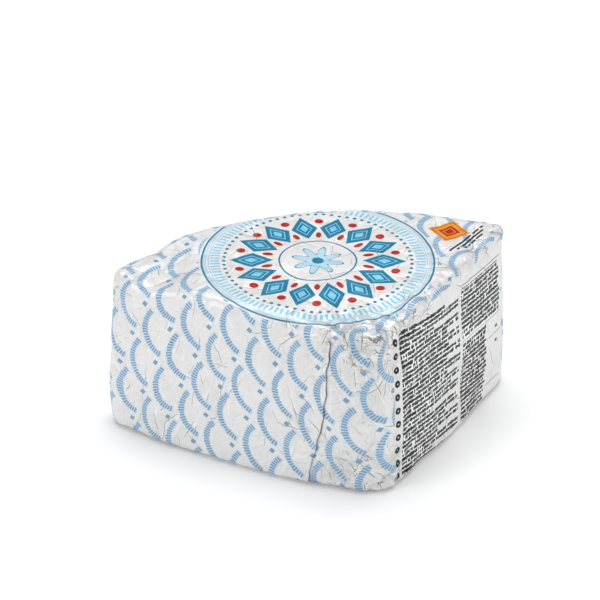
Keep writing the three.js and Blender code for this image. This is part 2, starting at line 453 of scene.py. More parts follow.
def crease_relief(points, ways, zones):
    """Relief of short straight creases, each a ridge or a dent that falls off to both sides."""
    rng = np.random.default_rng(CREASE_SEED)
    relief = np.zeros(len(points))
    for name, (many, lengths, depths, widths, lean, spread) in CREASE_GROUPS.items():
        home = np.flatnonzero(zones[name])
        for _ in range(many):
            middle = home[rng.integers(len(home))]
            normal = ways[middle]
            guide = np.array([0.0, 0.0, 1.0]) if abs(normal[2]) < 0.8 else np.array([0.0, 1.0, 0.0])
            side = np.cross(guide, normal)
            side /= np.linalg.norm(side)
            turn = lean * rng.choice([-1.0, 1.0]) + rng.normal(0.0, spread)
            way = math.cos(turn) * np.cross(normal, side) + math.sin(turn) * side
            reach = 0.5 * rng.uniform(*lengths)
            depth = rng.uniform(*depths) * rng.choice([-1.0, 1.0])
            wide = rng.uniform(*widths, 2)
            sway = rng.uniform(0.0, CREASE_SWAY)
            pace = rng.uniform(*CREASE_PACES)
            start = rng.uniform(0.0, STARTS)
            rel = points - points[middle]
            close = np.flatnonzero((rel ** 2).sum(axis=1) < (reach + CREASE_SIDES) ** 2)
            rel = rel[close]
            along = rel @ way
            across = rel @ np.cross(normal, way) + sway * np.sin(along * pace + start)
            width = np.where(across > 0, wide[0], wide[1])
            shape = np.exp(-np.abs(across) / width) * np.clip(1.0 - (along / reach) ** 2, 0.0, 1.0)
            same_side = (np.abs(rel @ normal) < CREASE_SIDES) & (ways[close] @ normal > 0.2)
            relief[close] += depth * shape * same_side
    return relief


# A fold's line wanders in two waves, each with a size and a pace. How level the folds lie, and how many
# waves draw the patches where each shows
WIDE_WANDER = (0.30, 1.7)
SMALL_WANDER = (0.07, 4.3)
FOLD_WAYS = [1.0, 1.0, 0.7]
PATCH_WAVES = 7


class Folds:
    """Straight creases with flat facets between them: tent-shaped waves, each shown in patches."""

    def __init__(self, seed, count, shortest, longest):
        rng = np.random.default_rng(seed)
        ways = rng.normal(size=(count, 3)) * FOLD_WAYS
        ways /= np.linalg.norm(ways, axis=1)[:, None]
        self.lengths = np.exp(rng.uniform(math.log(shortest), math.log(longest), count))
        self.ways = ways
        self.starts = rng.uniform(0.0, STARTS, (count, 3))
        self.patches = [
            Waves(100 * seed + i, PATCH_WAVES, 2.0 * longest, 5.0 * longest) for i in range(count)
        ]

    def __call__(self, points):
        total = np.zeros(len(points))
        wide, wide_pace = WIDE_WANDER
        small, small_pace = SMALL_WANDER
        waves = zip(self.ways, self.lengths, self.starts, self.patches)
        for way, length, (first, second, third), patch in waves:
            step = points @ way / length + first
            step += wide * np.sin(wide_pace * step + second) + small * np.sin(small_pace * step + third)
            tent = np.abs(2.0 * (step - np.floor(step)) - 1.0) - 0.5
            total += length * tent * smoothstep(patch(points), 0.0, 1.0)
        return total


# Relief over the whole sheet, each by its seed, how many waves it has, and their shortest and longest
SOFT_SWELL = (14, 22, 26.0, 60.0)
LARGE_FOLDS = (31, 12, 24.0, 48.0)
MIDDLE_FOLDS = (32, 16, 10.0, 20.0)
SMALL_FOLDS = (33, 18, 4.5, 9.0)
# Height of the swell in millimetres, and of the folds as a share of their length
SOFT_HEIGHT = 0.2
LARGE_STEEPNESS = 0.022
MIDDLE_STEEPNESS = 0.027
SMALL_STEEPNESS = 0.022


def crumple_relief(points):
    """Folded facets at three sizes, and a little smooth slack."""
    strength = crumple_strength(points)
    folded = LARGE_STEEPNESS * Folds(*LARGE_FOLDS)(points)
    folded += MIDDLE_STEEPNESS * Folds(*MIDDLE_FOLDS)(points)
    folded += SMALL_STEEPNESS * Folds(*SMALL_FOLDS)(points) * np.clip(strength, 0.3, 1.1)
    return SOFT_HEIGHT * Waves(*SOFT_SWELL)(points) + folded * strength, strength


# Rounding of the limit at the solid's box, in square millimetres
BOX_ROUNDING = 0.8


def kept_in_box(points):
    """Draws points in softly at the solid's box, so that sheets that lie on each other stay apart there."""
    low, high = np.array(CAD_BOX[0]) / MM, np.array(CAD_BOX[1]) / MM
    room = high - points
    points = high - 0.5 * (room + np.sqrt(room ** 2 + BOX_ROUNDING))
    room = points[:, :2] - low[:2]
    points[:, :2] = low[:2] + 0.5 * (room + np.sqrt(room ** 2 + BOX_ROUNDING))
    return np.clip(points, low, high)


# The skin's mesh

# Filling of the top and the base: its seeds, then as shares of its pitch the step between rows, how far a
# point strays, and how clear it stays of the ring and of a fold's line
TOP_SEED = 21
BASE_SEED = 22
ROW_STEP = 0.87
STRAY = 0.18
CLEAR_OF_RING = 0.62
CLEAR_OF_LINE = 0.45
# Points on the edges of the base's flaps: their range and pitch, and how clear they stay of the ring
FLAP_RANGE = (-40.0, 170.0)
FLAP_PITCH = 1.4
FLAP_CLEARANCE = 1.2


def inside(points, ring):
    """Which points lie inside a closed ring."""
    x, y = points[:, 0], points[:, 1]
    found = np.zeros(len(points), bool)
    for (x0, y0), (x1, y1) in zip(ring, np.roll(ring, -1, axis=0)):
        if y0 != y1:
            found ^= ((y0 > y) != (y1 > y)) & (x < (x1 - x0) * (y - y0) / (y1 - y0) + x0)
    return found


def nearest_on_ring(points, ring):
    """For every point, the distance to the ring's nearest vertex and which one that is."""
    gap = np.full(len(points), np.inf)
    which = np.zeros(len(points), int)
    for k, spot in enumerate(ring):
        away = np.hypot(points[:, 0] - spot[0], points[:, 1] - spot[1])
        nearer = away < gap
        gap[nearer] = away[nearer]
        which[nearer] = k
    return gap, which


def filled_ring(ring, pitch, seed, lines=()):
    """Points and triangles that fill a ring. Its own points keep their numbers."""
    rng = np.random.default_rng(seed)
    low, high = ring.min(axis=0), ring.max(axis=0)
    spots = np.array([
        (x + (0.5 * pitch if k % 2 else 0.0), y)
        for k, y in enumerate(np.arange(low[1], high[1], pitch * ROW_STEP))
        for x in np.arange(low[0], high[0], pitch)
    ])
    spots += rng.uniform(-STRAY, STRAY, spots.shape) * pitch
    spots = spots[inside(spots, ring)]
    spots = spots[nearest_on_ring(spots, ring)[0] > CLEAR_OF_RING * pitch]
    fixed = list(ring)
    edges = [(i, (i + 1) % len(ring)) for i in range(len(ring))]
    for line in lines:
        edges += [(len(fixed) + i, len(fixed) + i + 1) for i in range(len(line) - 1)]
        fixed += list(line)
        spots = spots[nearest_on_ring(spots, line)[0] > CLEAR_OF_LINE * pitch]
    given = [Vector(p) for p in fixed] + [Vector(p) for p in spots]
    places, _, faces, origins, _, _ = delaunay_2d_cdt(given, edges, [], 1, 1e-6)
    places = np.array([tuple(p) for p in places])
    number = np.array([min(found) if found else -1 for found in origins])
    order = np.argsort(np.where(number < 0, len(given), number), kind="stable")
    rank = np.empty(len(order), int)
    rank[order] = np.arange(len(order))
    triangles = np.array([[rank[i] for i in face] for face in faces if len(face) == 3])
    return places[order], triangles


def flap_lines(ring):
    """Edges of the base's folded flaps, each as two lines a hair apart."""
    lines = []
    for way, out, reach in ((LEFT_WAY, LEFT_OUT, LEFT_FLAP), (RIGHT_WAY, RIGHT_OUT, RIGHT_FLAP)):
        for nudge in (-FLAP_EDGE, FLAP_EDGE):
            spots = -out * (reach + nudge) + way * np.arange(*FLAP_RANGE, FLAP_PITCH)[:, None]
            spots = spots[inside(spots, ring)]
            spots = spots[nearest_on_ring(spots, ring)[0] > FLAP_CLEARANCE]
            if out is RIGHT_OUT:
                spots = spots[-(spots @ LEFT_OUT) > LEFT_FLAP + FLAP_CLEARANCE]
            lines.append(spots)
    return lines


def flap_of(plan):
    """Which flap of the base a place is on: the left one lies lowest, then the right, then the rind's."""
    return np.where(-(plan @ LEFT_OUT) < LEFT_FLAP, 0, np.where(-(plan @ RIGHT_OUT) < RIGHT_FLAP, 1, 2))


def print_place(plan):
    """Place on the print, in its own axes, of a place on the unfolded sheet."""
    rel = plan - ROUNDEL_MIDDLE
    return np.stack([rel @ PRINT_RIGHT, rel @ PRINT_UP], axis=-1)


# How far the sheet reaches from the top's edge to the base's
SHEET_DEPTH = WALL_HEIGHT + 6.0


def base_print(plan, flap):
    """The sheet's print on each flap, as it goes on from the wall that the flap comes down from."""
    left = np.outer(plan @ LEFT_WAY, LEFT_WAY) + np.outer(SHEET_DEPTH - plan @ LEFT_OUT, LEFT_OUT)
    right = np.outer(plan @ RIGHT_WAY, LEFT_WAY) + np.outer(2 * SHEET_DEPTH - plan @ RIGHT_OUT, LEFT_OUT)
    back = plan * [1.0, -1.0] - [0.0, 2 * SHEET_DEPTH]
    return print_place(np.where((flap == 0)[:, None], left, np.where((flap == 1)[:, None], right, back)))


# Homes of the charts on the bake map, a square of this size: the right face, the rind, the left face,
# the top, and the base, which is drawn at a smaller scale
BAKE_SQUARE = 350.0
BAKE_WALLS = np.array([[176.0, 142.0], [2.0, 246.0], [2.0, 142.0]])
BAKE_TOP = [2.0, 2.0]
BAKE_BASE = [222.0, 2.0]
BAKE_BASE_SCALE = 0.5
# How far in from the rim a step of the top runs out, and a flap of the base takes to rise
RIM_RUN = 9.0
FLAP_RISE = 4.0
# Where the creases of some zones start: the tip's reach and least height, the foot's reach, greatest
# height and length along the left face, and how near the left end
TIP_ZONE = (30.0, 62.0)
FOOT_ZONE = (42.0, 34.0, 24.0)
END_ZONE = 16.0
# Share of the relief that the base keeps, and the angle past which a fold is sharp
BASE_RELIEF = 0.7
SHARP_FOLD = math.radians(50.0)


class Skin:
    """The whole skin: points, outward ways, faces, and the corner maps of every face."""

    def __init__(self):
        self.s_folded, self.s_flat, self.share, owner = skin_columns().T
        self.owner = owner.astype(int)
        self.count = len(owner)
        self.top = top_height(round_the_pack(POINTS, self.s_flat))
        self.make_wall()
        self.make_top()
        self.make_base()
        self.crumple()

    def slid(self, height):
        """Every column's distance at a height, how thick sheets lie under it, and if it is tucked in."""
        s = self.s_flat.copy()
        thick, tucked = np.zeros(self.count), np.zeros(self.count)
        for i, lap in enumerate(LAPS):
            own = self.owner == i
            s += np.where(own, (self.s_folded - self.s_flat) * lap.folded(height, self.top), 0.0)
            # Where a layer is tucked under a lap; the material paints shadow there
            tucked += own * (self.share < TUCKED_SHARE) * lap.folded(height, self.top)
            s += lap.shift(self.s_flat, height)
            share = np.where(own, self.share, lap.share(self.s_flat))
            thick += share * lap.thickness(height, self.top)
        return s, thick, tucked

    def make_wall(self):
        """The wall's points, ring by ring, and their places on the unfolded sheet and on the wall."""
        ground, folded, ways, strip, fan, places, self.tucked = [], [], [], [], [], [], []
        for height, inset, tilt in ring_profile(self.top):
            s, thick, tucked = self.slid(height)
            self.tucked.append(tucked)
            plan = round_the_pack(POINTS, s)
            out = round_the_pack(OUT, s)
            out /= np.linalg.norm(out, axis=1)[:, None]
            up = np.minimum(1.0, height / WALL_HEIGHT)
            swell = BASE_FLARE * (1 - up) + BELLY * np.sin(math.pi * up) + bow(s)
            swell += slack(plan, height) + ear(plan, height) - inset
            ground.append(np.column_stack([plan + out * swell[:, None], height]))
            folded.append(np.column_stack([plan + out * (swell + thick)[:, None], height]))
            ways.append(np.column_stack([out * math.cos(tilt), np.full(self.count, math.sin(tilt))]))
            rim = bow(s) + slack(plan, self.top) + ear(plan, self.top)
            rounding = np.where(height > WALL_HEIGHT / 2, -inset, inset)
            drop = (self.top - height + rounding + rim)[:, None]
            strip.append(print_place(LEFT_WAY * left_distance(s)[:, None] + LEFT_OUT * drop))
            fan.append(print_place(plan + out * drop))
            places.append(np.column_stack([TIP_REACH + np.where(s > END["left"], s - AROUND, s), height]))
        self.ring_count = len(ground)
        self.ground = np.concatenate(ground)
        self.points = np.concatenate(folded)
        self.ways = np.concatenate(ways)
        self.tucked = np.concatenate(self.tucked)
        self.map_wall(folded, strip, fan, places)

    def map_wall(self, rings, strip, fan, places):
        """Quads and corner maps of the wall. Each map has one more column: the first, a turn further on."""
        n = self.count
        turn = print_place(LEFT_WAY * -AROUND) - print_place(np.zeros(2))

        def closed(table, step):
            return np.stack([np.vstack([row, row[:1] + step]) for row in table])

        strip, fan, places = closed(strip, turn), closed(fan, 0.0), closed(places, 0.0)
        middle = np.vstack([rings[self.ring_count // 2], rings[self.ring_count // 2][:1]])
        path = np.concatenate([[0.0], np.cumsum(np.linalg.norm(np.diff(middle, axis=0), axis=1))])
        climbs = [np.median(np.linalg.norm(high - low, axis=1)) for low, high in zip(rings, rings[1:])]
        climb = np.concatenate([[0.0], np.cumsum(climbs)])
        bake = np.stack([np.column_stack([path, np.full(n + 1, level)]) for level in climb])
        on_right = self.s_flat < END["right"]
        chart = np.where(on_right, 0, np.where(self.s_flat < END["left bend"], 1, 2))
        starts = np.array([path[:-1][chart == k].min() for k in range(3)])
        move = BAKE_WALLS[chart] - np.column_stack([starts[chart], np.zeros(n)])
        j = np.arange(n)
        pick = on_right[:, None, None]
        pick_wall = (on_right | (self.s_flat > END["left"] + 1.0))[:, None, None]
        self.quads, self.sheet, self.wall, self.bake = [], [], [], []
        for r in range(self.ring_count - 1):
            corners = [(r, j), (r, j + 1), (r + 1, j + 1), (r + 1, j)]

            def at_corners(table):
                return np.stack([table[row, col] for row, col in corners], axis=1)

            self.quads.append(np.stack([row * n + col % n for row, col in corners], axis=1))
            self.sheet.append(np.where(pick, at_corners(fan), at_corners(strip)))
            self.wall.append(np.where(pick_wall, at_corners(places), NOWHERE))
            self.bake.append(at_corners(bake) + move[:, None, :])

    def ring(self, index):
        """Numbers of the points in one ring of the wall."""
        return np.arange(index * self.count, (index + 1) * self.count)

    def add_cap(self, ring, inner, z, way, triangles):
        """Adds the points inside a ring, and gives the triangles the skin's own numbers."""
        start = len(self.points)
        fresh = np.column_stack([inner, z])
        self.points = np.vstack([self.points, fresh])
        self.ground = np.vstack([self.ground, fresh])
        self.ways = np.vstack([self.ways, np.tile(way, (len(inner), 1))])
        numbers = np.concatenate([ring, start + np.arange(len(inner))])
        return numbers[triangles]

    def make_top(self):
        """Fills the top. A step that a lap leaves at the rim runs out a little way in."""
        ring = self.ring(self.ring_count - 1)
        rim = self.points[ring]
        places, triangles = filled_ring(rim[:, :2], TOP_PITCH, TOP_SEED)
        inner = places[self.count:]
        gap, which = nearest_on_ring(inner, rim[:, :2])
        step = rim[:, 2] - top_height(rim[:, :2])
        z = top_height(inner) + step[which] * np.exp(-(gap / RIM_RUN) ** 2)
        self.top_faces = self.add_cap(ring, inner, z, [0.0, 0.0, 1.0], triangles)
        plan = self.points[self.top_faces][:, :, :2]
        self.top_sheet = print_place(plan)
        self.top_bake = plan - rim[:, :2].min(axis=0) + BAKE_TOP

    def make_base(self):
        """Fills the base, in three flaps that lie over each other."""
        ring = self.ring(0)
        rim = self.points[ring][:, :2]
        places, triangles = filled_ring(rim, BASE_PITCH, BASE_SEED, flap_lines(rim))
        inner = places[self.count:]
        gap, _ = nearest_on_ring(inner, rim)
        z = FLAP_LIFT * flap_of(inner) * smoothstep(gap, 0.0, FLAP_RISE)
        self.base_faces = self.add_cap(ring, inner, z, [0.0, 0.0, -1.0], triangles[:, ::-1])
        plan = self.points[self.base_faces][:, :, :2]
        flap = np.repeat(flap_of(plan.mean(axis=1)), 3)
        self.base_sheet = base_print(plan.reshape(-1, 2), flap).reshape(plan.shape)
        self.base_bake = (plan - rim.min(axis=0)) * BAKE_BASE_SCALE + BAKE_BASE

    def zones(self):
        """Which points each group of creases may start from."""
        number = np.arange(len(self.points))
        wall = number < self.ring_count * self.count
        ring = np.where(wall, number // self.count, -1)
        s = np.where(wall, self.s_flat[number % self.count], -1.0)
        plan, height = self.ground[:, :2], self.ground[:, 2]
        from_tip = np.linalg.norm(plan, axis=1)
        tip_reach, tip_height = TIP_ZONE
        foot_reach, foot_height, foot_length = FOOT_ZONE
        near_foot = (from_tip < foot_reach) & (height < foot_height) & (s > END["left"] - foot_length)
        upright = wall & (ring > EDGE_STEPS) & (ring < self.ring_count - EDGE_STEPS)
        return {
            "left": upright & (s > END["left bend"]),
            "right": upright & (s < END["right"]),
            "rind": upright & (s > END["right"]) & (s < END["left bend"]),
            "top": self.ways[:, 2] > 0.99,
            "top edge": wall & (ring >= self.ring_count - EDGE_STEPS),
            "tip": (from_tip < tip_reach) & (height > tip_height),
            "foot": upright & near_foot,
            "end": upright & (np.abs(s - END["left bend"]) < END_ZONE),
            "base edge": wall & (ring <= EDGE_STEPS),
            "base": self.ways[:, 2] < -0.99,
        }

    def crumple(self):
        """Adds the relief. On the base it only ever goes up into the pack, so that nothing hangs below."""
        crumpled, self.strength = crumple_relief(self.ground)
        self.crease = crease_relief(self.ground, self.ways, self.zones()) * (0.4 + 0.6 * self.strength)
        relief = crumpled + self.crease
        relief = np.where(self.ways[:, 2] < -0.5, -BASE_RELIEF * np.abs(relief), relief)
        self.points = self.points + self.ways * relief[:, None]
        self.points[:, :2] += TIP_IN_FRAME
        self.points = kept_in_box(self.points)


def corner_values(wall, top, base):
    """One map's values for all the face corners, in the order of the mesh's loops."""
    return np.concatenate([np.concatenate(wall).reshape(-1, 2), top.reshape(-1, 2), base.reshape(-1, 2)])


def skin_mesh():
    """The foil wrapper's mesh, with its corner maps and its point attributes."""
    skin = Skin()
    quads = np.concatenate(skin.quads)
    triangles = np.concatenate([skin.top_faces, skin.base_faces])
    loops = np.concatenate([quads.ravel(), triangles.ravel()])
    starts = np.concatenate([np.arange(len(quads)) * 4, quads.size + np.arange(len(triangles)) * 3])
    mesh = bpy.data.meshes.new("foil_wrapper")
    mesh.vertices.add(len(skin.points))
    mesh.vertices.foreach_set("co", (skin.points * MM).ravel())
    mesh.loops.add(len(loops))
    mesh.loops.foreach_set("vertex_index", loops.astype(np.int32))
    mesh.polygons.add(len(starts))
    mesh.polygons.foreach_set("loop_start", starts.astype(np.int32))
    off_top, off_base = np.full(skin.top_sheet.shape, NOWHERE), np.full(skin.base_sheet.shape, NOWHERE)
    maps = {
        "OFBake": corner_values(skin.bake, skin.top_bake, skin.base_bake) / BAKE_SQUARE,
        "sheet": corner_values(skin.sheet, skin.top_sheet, skin.base_sheet),
        "wall": corner_values(skin.wall, off_top, off_base),
    }
    for name, values in maps.items():
        mesh.uv_layers.new(name=name).uv.foreach_set("vector", values.astype(np.float32).ravel())
    tucked = np.pad(skin.tucked, (0, len(skin.points) - len(skin.tucked)))
    for name, values in (("crumple", skin.strength), ("crease", skin.crease), ("tucked", tucked)):
        layer = mesh.attributes.new(name, "FLOAT", "POINT")
        layer.data.foreach_set("value", values.astype(np.float32))
    mesh.update()
    mesh.validate()
    mesh.polygons.foreach_set("use_smooth", np.ones(len(mesh.polygons), bool))
    mesh.set_sharp_from_angle(angle=SHARP_FOLD)
    return mesh


# Reckoning in shader nodes

# Softness of the edge of print on foil, in millimetres
PRINT_BLUR = 0.16


class Field:
    """A shader socket that can be reckoned with like a number."""

    def __init__(self, tree, socket):
        self.tree = tree
        self.socket = socket

    def math(self, operation, *others, clamp=False):
        node = self.tree.nodes.new("ShaderNodeMath")
        node.operation = operation
        node.use_clamp = clamp
        for slot, value in zip(node.inputs, (self, *others)):
            if isinstance(value, Field):
                self.tree.links.new(value.socket, slot)
            else:
                slot.default_value = value
        return Field(self.tree, node.outputs[0])

    def __add__(self, other):
        return self.math("ADD", other)

    def __sub__(self, other):
        return self.math("SUBTRACT", other)

    def __mul__(self, other):
        return self.math("MULTIPLY", other)

    def __truediv__(self, other):
        return self.math("DIVIDE", other)

    def __rsub__(self, other):
        return self.math("MULTIPLY_ADD", -1.0, other)

    def __rtruediv__(self, other):
        return self.math("POWER", -1.0) * other

    def __abs__(self):
        return self.math("ABSOLUTE")

    __radd__ = __add__
    __rmul__ = __mul__

    def inked(self, blur=PRINT_BLUR):
        """One where this signed distance is below zero, with an edge as soft as print on foil."""
        return self.math("MULTIPLY_ADD", -1.0 / blur, 0.5, clamp=True)

    def wrapped(self, period):
        """Folded into the range from minus half a period to plus half a period."""
        return self.math("WRAP", 0.5 * period, -0.5 * period)

    def ramp(self, gain=1.0):
        """Times a gain, and kept from 0 to 1."""
        return self.math("MULTIPLY", gain, clamp=True)

    def floor_of(self, period):
        """Which whole period this falls in."""
        return (self / period).math("FLOOR")

    def either(self, other):
        return self.math("MAXIMUM", other)

    def less(self, other):
        return self.math("MINIMUM", other)


def distance(a, b):
    return (a * a + b * b).math("SQRT")


def new_group(name, inputs, outputs):
    """An empty node group. An input with no plain value is a vector."""
    tree = bpy.data.node_groups.new(name, "ShaderNodeTree")
    for label, default in inputs.items():
        kind = "NodeSocketVector" if default is None else "NodeSocketFloat"
        socket = tree.interface.new_socket(label, in_out="INPUT", socket_type=kind)
        if default is not None:
            socket.default_value = default
    for label in outputs:
        tree.interface.new_socket(label, in_out="OUTPUT", socket_type="NodeSocketFloat")
    entry = tree.nodes.new("NodeGroupInput")
    leave = tree.nodes.new("NodeGroupOutput")
    return tree, entry, leave


def fields(tree, node, *names):
    return [Field(tree, node.outputs[name]) for name in names]


def separate(tree, socket, count=2):
    node = tree.nodes.new("ShaderNodeSeparateXYZ")
    tree.links.new(socket, node.inputs[0])
    return [Field(tree, output) for output in node.outputs[:count]]


def feed(tree, slot, value):
    """Links a field or a socket to an input, or sets the input to a plain value."""
    if isinstance(value, Field):
        tree.links.new(value.socket, slot)
    elif isinstance(value, bpy.types.NodeSocket):
        tree.links.new(value, slot)
    else:
        slot.default_value = value


def vector_math(tree, operation, *values):
    node = tree.nodes.new("ShaderNodeVectorMath")
    node.operation = operation
    slots = [slot for slot in node.inputs if slot.enabled]
    for slot, value in zip(slots, values):
        feed(tree, slot, value)
    return node.outputs["Value"] if operation in ("DOT_PRODUCT", "LENGTH") else node.outputs["Vector"]


def chance(tree, *parts):
    """A number from 0 to 1 that is drawn anew for every set of whole numbers."""
    node = tree.nodes.new("ShaderNodeCombineXYZ")
    for slot, value in zip(node.inputs, parts):
        feed(tree, slot, value)
    noise = tree.nodes.new("ShaderNodeTexWhiteNoise")
    tree.links.new(node.outputs[0], noise.inputs["Vector"])
    return Field(tree, noise.outputs["Value"])


def noise_field(tree, place, scale, detail):
    node = tree.nodes.new("ShaderNodeTexNoise")
    node.inputs["Scale"].default_value = scale
    node.inputs["Detail"].default_value = detail
    tree.links.new(place, node.inputs["Vector"])
    return node


def finish_group(tree, leave, **values):
    """Links each value to the output of its name."""
    for name, value in values.items():
        tree.links.new(value.socket, leave.inputs[name.capitalize()])
    return tree


# The print's parts

def scallop_group():
    """Scales of short ticks in a half-drop repeat, with a small lozenge where two scales meet."""
    tree, entry, leave = new_group("scallop print", {"Place": None}, ["Ink", "Fringe"])
    x, y = separate(tree, entry.outputs["Place"])
    period, row, row_start, radius, band_half = 32.5, 11.4, 7.0, 14.6, 1.15
    side_reach, tick_step, tick_half = 1.02, 0.1, 0.034
    lozenge_half, fringe_width, fringe_blur = 1.7, 0.4, 1.2
    level = (y - row_start).floor_of(row)
    up = y - level * row
    across = (x + (level * 0.5).math("FRACT") * period).wrapped(period)
    angle = across.math("ARCTAN2", up)
    band = abs(distance(across, up) - radius) - band_half
    reach = (abs(angle) - side_reach) * radius
    tick = (abs((angle - 0.5 * tick_step).wrapped(tick_step)) - tick_half) * radius
    longer = chance(tree, angle.floor_of(tick_step), level, 6.0) * 0.6
    scale = (band - longer).either(reach).either(tick).inked()
    lozenge = ((0.5 * period - abs(across)) + abs(up - row) - lozenge_half).inked()
    fringe = ((band - 0.3).either(reach) - fringe_width).inked(fringe_blur)
    return finish_group(tree, leave, ink=scale.either(lozenge), fringe=fringe)


def roundel_group():
    """A rosette in rings: fine circles, ticks, dots, big lozenges, red beads, and a small flower."""
    tree, entry, leave = new_group("roundel print", {"Place": None}, ["Teal", "Sky", "Red", "Inside"])
    x, y = separate(tree, entry.outputs["Place"])
    r = distance(x, y)
    angle = y.math("ARCTAN2", x)

    def off_spoke(count, phase=0.0):
        """Sideways distance from the nearest of a number of spokes."""
        step = 2 * math.pi / count
        return (angle + phase * step).wrapped(step) * r

    def ring(radius, half_width):
        return (abs(r - radius) - half_width).inked()

    def beads_round(count, radius, half_width, phase=0.0):
        return (distance(off_spoke(count, phase), r - radius) - half_width).inked()

    rim_radius, spokes, ticks_round, dots_round = 60.0, 14, 116, 72
    circle = ring(58.4, 0.5)
    fine_circle = ring(56.9, 0.95) * 0.4
    tick_foot = ring(54.9, 0.2)
    ticks = (abs(r - 51.8) - 2.3).either(abs(off_spoke(ticks_round)) - 0.62).inked()
    dots = beads_round(dots_round, 47.2, 0.95)
    # Lozenges, with a light core and a light slit, and the red beads and drops between them
    lozenge_radius, lozenge_half, core_half, slit_at, slenderness = 33.4, 11.0, 3.6, 6.4, 1.6
    lozenge = abs(off_spoke(spokes)) * slenderness + abs(r - lozenge_radius)
    core = (lozenge - core_half).inked()
    slit = (abs(lozenge - slit_at) - 0.5).inked()
    body = (lozenge - lozenge_half).inked() * (1.0 - core) * (1.0 - slit)
    beads = beads_round(spokes, 40.0, 2.3, 0.5)
    drops = (distance(off_spoke(spokes, 0.5) * 1.4, (r - 26.0) * 0.7) - 2.0).inked()
    # The flower in its ring
    petal_count, petal_middle, petal_depth, heart_radius = 8.0, 9.5, 3.6, 3.0
    inner = ring(19.4, 0.45)
    petals = r - petal_middle - petal_depth * (angle * petal_count).math("COSINE")
    petal_line = (abs(petals) - 0.42).inked()
    heart = (r - heart_radius).inked()
    teal = circle.either(dots).either(body).either(petal_line).either(heart).either(inner)
    sky = fine_circle.either(ticks).either(tick_foot).either(core).either(slit)
    sky = sky.either(petals.inked() * 0.55)
    inside_it = (r - rim_radius).inked()
    return finish_group(tree, leave, teal=teal, sky=sky, red=beads.either(drops), inside=inside_it)


def words(tree, along, line, seed, cell, gaps):
    """Greeked words: cells of a line are inked by chance, so that no letter is formed."""
    return chance(tree, along.floor_of(cell), line, seed).math("GREATER_THAN", gaps)


# The corner mark's places on the print, from their places in plan, and the turn of its bars
LOZENGE_MIDDLE = print_place(np.array([65.7, 88.3])).tolist()
BARS_MIDDLE = print_place(np.array([73.0, 77.0])).tolist()
BARS_TURN = math.radians(-22.0)


def corner_mark_group():
    """An orange lozenge with a red heart, and three short greeked lines beside it."""
    tree, entry, leave = new_group("corner mark print", {"Place": None}, ["Orange", "Red", "Black"])
    x, y = separate(tree, entry.outputs["Place"])
    orange_half, ring_at, red_half, slit_at = 10.4, 8.8, 5.4, 3.2
    size = (abs(x - LOZENGE_MIDDLE[0]) + abs(y - LOZENGE_MIDDLE[1])) * 0.95
    orange = (size - orange_half).inked()
    red = (size - red_half).inked() * (1.0 - (abs(size - slit_at) - 0.35).inked())
    ring = (abs(size - ring_at) - 0.28).inked()
    line_pitch, bar_half, half_length, longer, half_block = 2.2, 0.58, 12.0, 3.5, 3.3
    across, up = x - BARS_MIDDLE[0], y - BARS_MIDDLE[1]
    along = across * math.cos(BARS_TURN) + up * math.sin(BARS_TURN)
    off = up * math.cos(BARS_TURN) - across * math.sin(BARS_TURN)
    line = (off + 0.5 * line_pitch).floor_of(line_pitch)
    within = (abs(along) - half_length - line * longer).either(abs(off) - half_block)
    bar = (abs(off.wrapped(line_pitch)) - bar_half).either(within).inked()
    black = bar * words(tree, along, line, 5.0, 0.8, 0.14)
    return finish_group(tree, leave, orange=orange, red=red.either(ring), black=black)


# How the block of small print is turned on the right face: its sides lean about a height, and its lines
# run downhill
SMALL_PRINT_LEAN = -0.035
SMALL_PRINT_SLOPE = 0.07
LEAN_HEIGHT = 43.0
# Distances from the sharp tip along the right face, and heights, in millimetres
FIRST_COLUMN = (17.4, 72.5)
LEAST_LAST_LINE = 44.0
LEAD_END = 24.0
DOT_COLUMN = 13.9
TEXT_LEVELS = (4.2, 84.8)
SECOND_COLUMN = (75.3, 102.5)
SECOND_COLUMN_WIDER = 16.0
SECOND_LEVELS = (9.0, 86.0)
DIVIDING_RULE = 56.2
TOP_RULE = 87.8
SHORT_RULES = (17.8, 45.3)
PRINT_END = 119.0
LOWEST_PRINT = 2.4
LINE_PITCH = 2.5
LINES_IN_PARAGRAPH = 3.0
# Half heights of a line of plain, bold and second-column print, and how much a letter may take off
PLAIN_HALF = 1.18
BOLD_HALF = 1.28
SECOND_HALF = 1.22
LETTER_LOSS = 0.65
# Width of a greeked stroke, and the shares of them left bare in each column
STROKE_CELL = 0.7
FIRST_GAPS = 0.1
SECOND_GAPS = 0.07
# Radius of the dots, that of the hole in them, and the height of the lowest
DOT_RADIUS = 1.95
DOT_HOLE = 0.5
DOT_START = 6.1
# Half widths of the bold and the thin rules
BOLD_RULE = 0.22
THIN_RULE = 0.16


def small_print_along(far, height):
    """Distance along the small print, whose sides lean."""
    return far + (height - LEAN_HEIGHT) * SMALL_PRINT_LEAN


